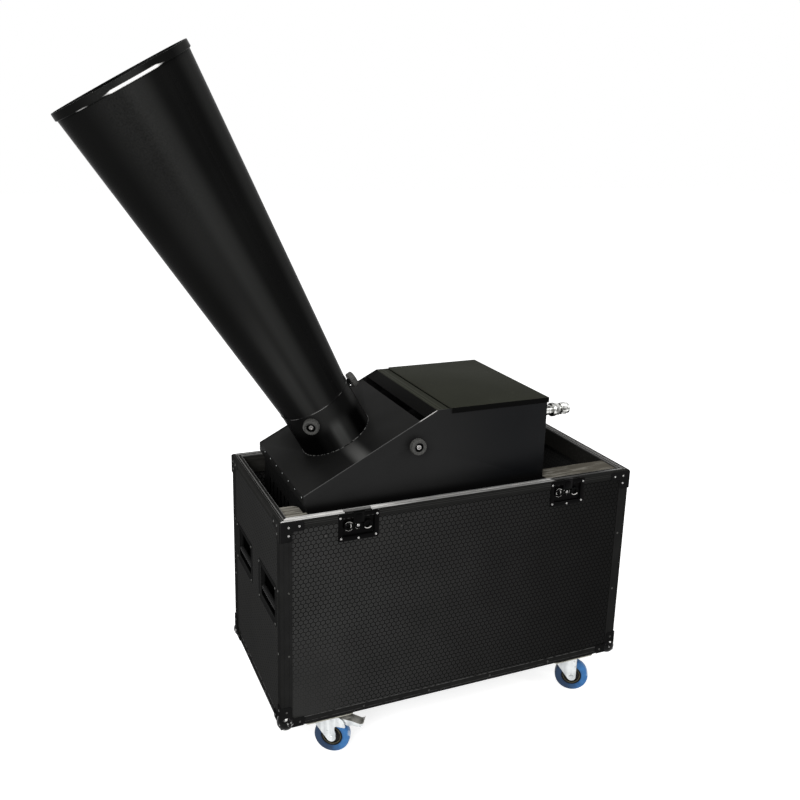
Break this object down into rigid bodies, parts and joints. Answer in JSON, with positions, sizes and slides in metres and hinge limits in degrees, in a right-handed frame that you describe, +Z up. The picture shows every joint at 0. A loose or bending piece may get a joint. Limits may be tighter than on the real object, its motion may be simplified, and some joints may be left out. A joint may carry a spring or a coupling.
{
  "type": "confetti blower",
  "caption": "Gas-driven confetti blower: a leaning conical barrel on a wedge-shaped hood with a filling lid, standing in its open wheeled flight case.",
  "frame": {"origin": "on the floor, under the middle of the object's bounding box", "axes": "+Z up, +X along the case towards the gas inlet, +Y towards the case's back; the barrel leans towards -X"},
  "size_m": [1.5138, 0.5454, 1.8574],
  "materials": {
    "laminate": "black hexagon-pattern laminate on plywood",
    "plywood": "bare pale plywood",
    "lining": "dark stained plywood edge",
    "rim": "bright drawn aluminium",
    "edging": "satin black",
    "fittings": "semi-gloss black",
    "zinc": "zinc plated",
    "wheel": "blue elastic tread on a dark hub",
    "hood": "satin black powder coat",
    "barrel": "gloss black powder coat",
    "knob": "moulded black plastic",
    "steel": "plain stainless",
    "chrome": "polished",
    "brass": "plain",
    "inner_sheet": "plain zinc coated sheet"
  },
  "bodies": {
    "case": {"case_front_panel": "laminate", "case_back_panel": "laminate", "case_left_panel": "laminate", "case_right_panel": "laminate", "case_floor_panel": "lining", "lining_frame": "lining", "shelf_board": "plywood", "rim_extrusion": "rim", "case_edging": "edging", "latch_dish_left": "fittings", "handle_dish_left_front": "fittings", "castor_plate_left_front": "zinc", "handle_dish_left_back": "fittings", "castor_plate_left_back": "zinc", "latch_dish_right": "fittings", "handle_dish_right_front": "fittings", "castor_plate_right_front": "zinc", "handle_dish_right_back": "fittings", "castor_plate_right_back": "zinc", "hood_front_side": "hood", "hood_back_side": "hood", "deck_plate": "hood", "strip_plate": "hood", "rear_panel": "hood", "lower_tub": "hood", "barrel_collar": "barrel", "throat_duct": "inner_sheet", "hopper_chute": "inner_sheet", "jet_nozzle": "brass", "solenoid_valve": "brass", "nozzle_pipe": "steel", "supply_pipe": "steel", "gas_coupling": "chrome", "control_box": "fittings"},
    "barrel": {"barrel_cone": "barrel"},
    "collar_knob_rear": {"collar_knob_rear": "knob"},
    "collar_knob_front": {"collar_knob_front": "knob"},
    "collar_knob_back": {"collar_knob_back": "knob"},
    "side_knob_front": {"side_knob_front": "knob"},
    "side_knob_back": {"side_knob_back": "knob"},
    "top_lid": {"top_lid": "hood"},
    "latch_key_left": {"latch_key_left": "fittings"},
    "latch_hook_left": {"latch_hook_left": "fittings"},
    "handle_bail_left_front": {"handle_bail_left_front": "fittings"},
    "castor_left_front": {"castor_fork_left_front": "zinc"},
    "castor_wheel_left_front": {"castor_wheel_left_front": "wheel"},
    "brake_pedal_left_front": {"brake_pedal_left_front": "zinc"},
    "handle_bail_left_back": {"handle_bail_left_back": "fittings"},
    "castor_left_back": {"castor_fork_left_back": "zinc"},
    "castor_wheel_left_back": {"castor_wheel_left_back": "wheel"},
    "brake_pedal_left_back": {"brake_pedal_left_back": "zinc"},
    "latch_key_right": {"latch_key_right": "fittings"},
    "latch_hook_right": {"latch_hook_right": "fittings"},
    "handle_bail_right_front": {"handle_bail_right_front": "fittings"},
    "castor_right_front": {"castor_fork_right_front": "zinc"},
    "castor_wheel_right_front": {"castor_wheel_right_front": "wheel"},
    "handle_bail_right_back": {"handle_bail_right_back": "fittings"},
    "castor_right_back": {"castor_fork_right_back": "zinc"},
    "castor_wheel_right_back": {"castor_wheel_right_back": "wheel"},
    "coupling_sleeve": {"coupling_sleeve": "chrome"}
  },
  "joints": [
    {"name": "barrel_lift", "type": "slide", "parent": "case", "child": "barrel", "axis": [-0.5, 0, 0.866], "range_m": [0, 0.105]},
    {"name": "collar_knob_rear_turn", "type": "hinge", "parent": "case", "child": "collar_knob_rear", "pos_m": [-0.02227, 0.012, 0.98316], "axis": [-0.866, 0, -0.5], "range_deg": [0, 720]},
    {"name": "collar_knob_front_turn", "type": "hinge", "parent": "case", "child": "collar_knob_front", "pos_m": [-0.16516, -0.08326, 0.90066], "axis": [0.433, 0.866, 0.25], "range_deg": [0, 720]},
    {"name": "collar_knob_back_turn", "type": "hinge", "parent": "case", "child": "collar_knob_back", "pos_m": [-0.16516, 0.10726, 0.90066], "axis": [0.433, -0.866, 0.25], "range_deg": [0, 720]},
    {"name": "side_knob_front_turn", "type": "hinge", "parent": "case", "child": "side_knob_front", "pos_m": [0.08407, -0.208, 0.85669], "axis": [0, 1, 0], "range_deg": [0, 720]},
    {"name": "side_knob_back_turn", "type": "hinge", "parent": "case", "child": "side_knob_back", "pos_m": [0.08407, 0.232, 0.85669], "axis": [0, -1, 0], "range_deg": [0, 720]},
    {"name": "top_lid_hinge", "type": "hinge", "parent": "case", "child": "top_lid", "pos_m": [0.18617, 0.012, 0.94599], "axis": [0, -1, 0], "range_deg": [0, 100]},
    {"name": "latch_key_left_turn", "type": "hinge", "parent": "case", "child": "latch_key_left", "pos_m": [-0.09293, -0.243, 0.67669], "axis": [0, -1, 0], "range_deg": [0, 180]},
    {"name": "latch_hook_left_slide", "type": "slide", "parent": "case", "child": "latch_hook_left", "axis": [0, 0, 1], "range_m": [0, 0.014]},
    {"name": "handle_bail_left_front_swing", "type": "hinge", "parent": "case", "child": "handle_bail_left_front", "pos_m": [-0.29193, -0.1215, 0.49469], "axis": [0, 1, 0], "range_deg": [0, 90], "stiffness_Nm_per_rad": 0.4},
    {"name": "castor_left_front_swivel", "type": "hinge", "parent": "case", "child": "castor_left_front", "pos_m": [-0.16593, -0.198, 0.11769], "axis": [0, 0, 1], "continuous": true},
    {"name": "castor_wheel_left_front_roll", "type": "hinge", "parent": "castor_left_front", "child": "castor_wheel_left_front", "pos_m": [-0.14497, -0.21162, 0.04969], "axis": [0.5446, 0.8387, 0], "continuous": true},
    {"name": "brake_pedal_left_front_press", "type": "hinge", "parent": "castor_left_front", "child": "brake_pedal_left_front", "pos_m": [-0.13406, -0.2187, 0.10539], "axis": [0.5446, 0.8387, 0], "range_deg": [0, 12]},
    {"name": "handle_bail_left_back_swing", "type": "hinge", "parent": "case", "child": "handle_bail_left_back", "pos_m": [-0.29193, 0.1215, 0.49469], "axis": [0, 1, 0], "range_deg": [0, 90], "stiffness_Nm_per_rad": 0.4},
    {"name": "castor_left_back_swivel", "type": "hinge", "parent": "case", "child": "castor_left_back", "pos_m": [-0.16593, 0.198, 0.11769], "axis": [0, 0, 1], "continuous": true},
    {"name": "castor_wheel_left_back_roll", "type": "hinge", "parent": "castor_left_back", "child": "castor_wheel_left_back", "pos_m": [-0.14497, 0.21162, 0.04969], "axis": [-0.5446, 0.8387, 0], "continuous": true},
    {"name": "brake_pedal_left_back_press", "type": "hinge", "parent": "castor_left_back", "child": "brake_pedal_left_back", "pos_m": [-0.13406, 0.2187, 0.10539], "axis": [-0.5446, 0.8387, 0], "range_deg": [0, 12]},
    {"name": "latch_key_right_turn", "type": "hinge", "parent": "case", "child": "latch_key_right", "pos_m": [0.53907, -0.243, 0.67669], "axis": [0, -1, 0], "range_deg": [0, 180]},
    {"name": "latch_hook_right_slide", "type": "slide", "parent": "case", "child": "latch_hook_right", "axis": [0, 0, 1], "range_m": [0, 0.014]},
    {"name": "handle_bail_right_front_swing", "type": "hinge", "parent": "case", "child": "handle_bail_right_front", "pos_m": [0.73807, -0.1215, 0.49469], "axis": [0, -1, 0], "range_deg": [0, 90], "stiffness_Nm_per_rad": 0.4},
    {"name": "castor_right_front_swivel", "type": "hinge", "parent": "case", "child": "castor_right_front", "pos_m": [0.61207, -0.198, 0.11769], "axis": [0, 0, 1], "continuous": true},
    {"name": "castor_wheel_right_front_roll", "type": "hinge", "parent": "castor_right_front", "child": "castor_wheel_right_front", "pos_m": [0.63303, -0.21162, 0.04969], "axis": [0.5446, 0.8387, 0], "continuous": true},
    {"name": "handle_bail_right_back_swing", "type": "hinge", "parent": "case", "child": "handle_bail_right_back", "pos_m": [0.73807, 0.1215, 0.49469], "axis": [0, -1, 0], "range_deg": [0, 90], "stiffness_Nm_per_rad": 0.4},
    {"name": "castor_right_back_swivel", "type": "hinge", "parent": "case", "child": "castor_right_back", "pos_m": [0.61207, 0.198, 0.11769], "axis": [0, 0, 1], "continuous": true},
    {"name": "castor_wheel_right_back_roll", "type": "hinge", "parent": "castor_right_back", "child": "castor_wheel_right_back", "pos_m": [0.63303, 0.21162, 0.04969], "axis": [-0.5446, 0.8387, 0], "continuous": true},
    {"name": "coupling_sleeve_pull", "type": "slide", "parent": "case", "child": "coupling_sleeve", "axis": [-1, 0, 0], "range_m": [0, 0.006], "stiffness_N_per_m": 400}
  ],
  "couplings": [
    {"joint": "latch_key_left_turn", "follows": "latch_hook_left_slide", "rad_per_m": 224.39},
    {"joint": "latch_key_right_turn", "follows": "latch_hook_right_slide", "rad_per_m": 224.39}
  ]
}
